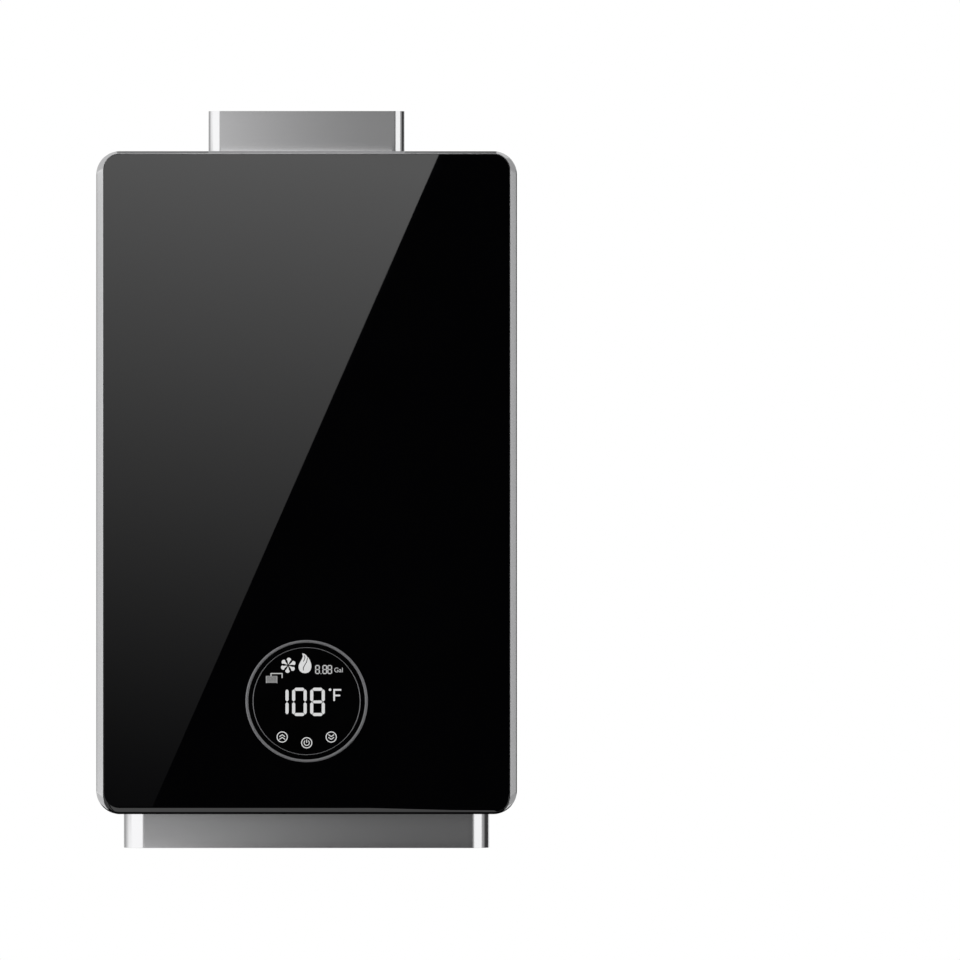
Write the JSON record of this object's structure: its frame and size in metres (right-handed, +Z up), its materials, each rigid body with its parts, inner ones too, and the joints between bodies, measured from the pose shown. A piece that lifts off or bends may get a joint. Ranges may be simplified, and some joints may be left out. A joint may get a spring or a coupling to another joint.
{
  "type": "tankless gas water heater",
  "caption": "Wall-hung tankless gas water heater: black glass front in a silver frame, round touch display, flue collar on top and water and gas connections below.",
  "frame": {"origin": "middle of the four wall holes, on the wall plane", "axes": "+Z up, +Y from the glass to the wall, +X to the right as seen from the front"},
  "size_m": [0.33, 0.1284, 0.5788],
  "materials": {
    "black_glass": "polished, painted black on the back",
    "display_glass": "polished, dark tint",
    "frame_aluminium": "satin anodised",
    "brushed_steel": "fine brushed",
    "silver_paint": "satin powder coat",
    "zinc_sheet": "galvanised, spangled",
    "black_rubber": "matt",
    "fibre_gasket": "fibrous",
    "black_plastic": "moulded",
    "circuit_board": "solder mask",
    "plated_spring": "plated",
    "plated_screw": "zinc plated",
    "flue_steel": "mill finish",
    "impeller_aluminium": "mill finish",
    "turned_steel": "turned",
    "motor_steel": "satin",
    "motor_iron": "laminated",
    "bronze": "sintered",
    "white_plastic": "moulded",
    "silicone": "milky",
    "copper": "drawn copper",
    "burner_steel": "pressed stainless",
    "cast_aluminium": "die cast",
    "brass": "machined",
    "coil_resin": "cast resin",
    "grey_plastic": "moulded",
    "white_ceramic": "unglazed"
  },
  "bodies": {
    "housing": {"back_pan": "zinc_sheet", "bottom_plate": "zinc_sheet", "front_cover": "silver_paint", "front_frame": "frame_aluminium", "glass_panel": "black_glass", "glass_gasket": "black_rubber", "display_ring": "frame_aluminium", "display_lens": "display_glass", "display_housing": "black_plastic", "display_board": "circuit_board", "touch_pads": "plated_spring", "flue_shroud": "brushed_steel", "bottom_skirt": "brushed_steel", "cover_screws": "plated_screw", "trim_screws": "plated_screw", "flue_collar": "flue_steel", "flue_gasket": "fibre_gasket", "fan_volute": "flue_steel", "volute_plate": "flue_steel", "motor_can": "motor_steel", "motor_stator": "motor_iron", "motor_bearings": "bronze", "pressure_switch": "white_plastic", "pressure_hose": "silicone", "exhaust_hood": "flue_steel", "combustion_shell": "copper", "exchanger_fins": "copper", "exchanger_tubes": "copper", "return_bends": "copper", "chamber_brackets": "zinc_sheet", "burner_tray": "flue_steel", "burner_blades": "burner_steel", "gas_manifold": "cast_aluminium", "gas_injectors": "brass", "gas_feed_pipe": "flue_steel", "gas_valve_body": "cast_aluminium", "shutoff_coil": "coil_resin", "modulating_coil": "coil_resin", "gas_inlet_fitting": "brass", "cold_inlet_body": "brass", "inlet_filter": "white_plastic", "flow_sensor_body": "black_plastic", "cold_riser": "copper", "hot_downpipe": "copper", "hot_outlet_fitting": "brass", "fitting_nuts": "brass", "cable_gland": "black_plastic", "control_box": "black_plastic", "control_board": "circuit_board", "igniter_module": "black_plastic", "ignition_electrodes": "white_ceramic", "temperature_sensors": "turned_steel"},
    "fan_rotor": {"fan_impeller": "impeller_aluminium", "fan_shaft": "turned_steel", "motor_rotor": "motor_iron"},
    "flow_rotor": {"flow_turbine": "white_plastic"},
    "shutoff_valve": {"shutoff_plunger": "turned_steel"},
    "modulating_valve": {"modulating_plunger": "turned_steel"},
    "draught_flap": {"draught_flap": "flue_steel"},
    "drain_tap": {"drain_tap": "grey_plastic"}
  },
  "joints": [
    {"name": "fan_spin", "type": "hinge", "parent": "housing", "child": "fan_rotor", "pos_m": [-0.0402, -0.063, 0.188], "axis": [0, 1, 0], "continuous": true},
    {"name": "flow_turbine_spin", "type": "hinge", "parent": "housing", "child": "flow_rotor", "pos_m": [0.112, -0.056, -0.1903], "axis": [0, 0, 1], "continuous": true},
    {"name": "gas_shutoff_slide", "type": "slide", "parent": "housing", "child": "shutoff_valve", "axis": [1, 0, 0], "range_m": [0, 0.003], "stiffness_N_per_m": 400, "springref_m": -0.004},
    {"name": "gas_modulating_slide", "type": "slide", "parent": "housing", "child": "modulating_valve", "axis": [-1, 0, 0], "range_m": [0, 0.002], "stiffness_N_per_m": 300, "springref_m": -0.004},
    {"name": "draught_flap_swing", "type": "hinge", "parent": "housing", "child": "draught_flap", "pos_m": [0, -0.057, 0.267], "axis": [-1, 0, 0], "range_deg": [0, 75]},
    {"name": "drain_tap_turn", "type": "hinge", "parent": "housing", "child": "drain_tap", "pos_m": [0.074, -0.056, -0.27], "axis": [0, 0, 1], "range_deg": [0, 90]}
  ]
}
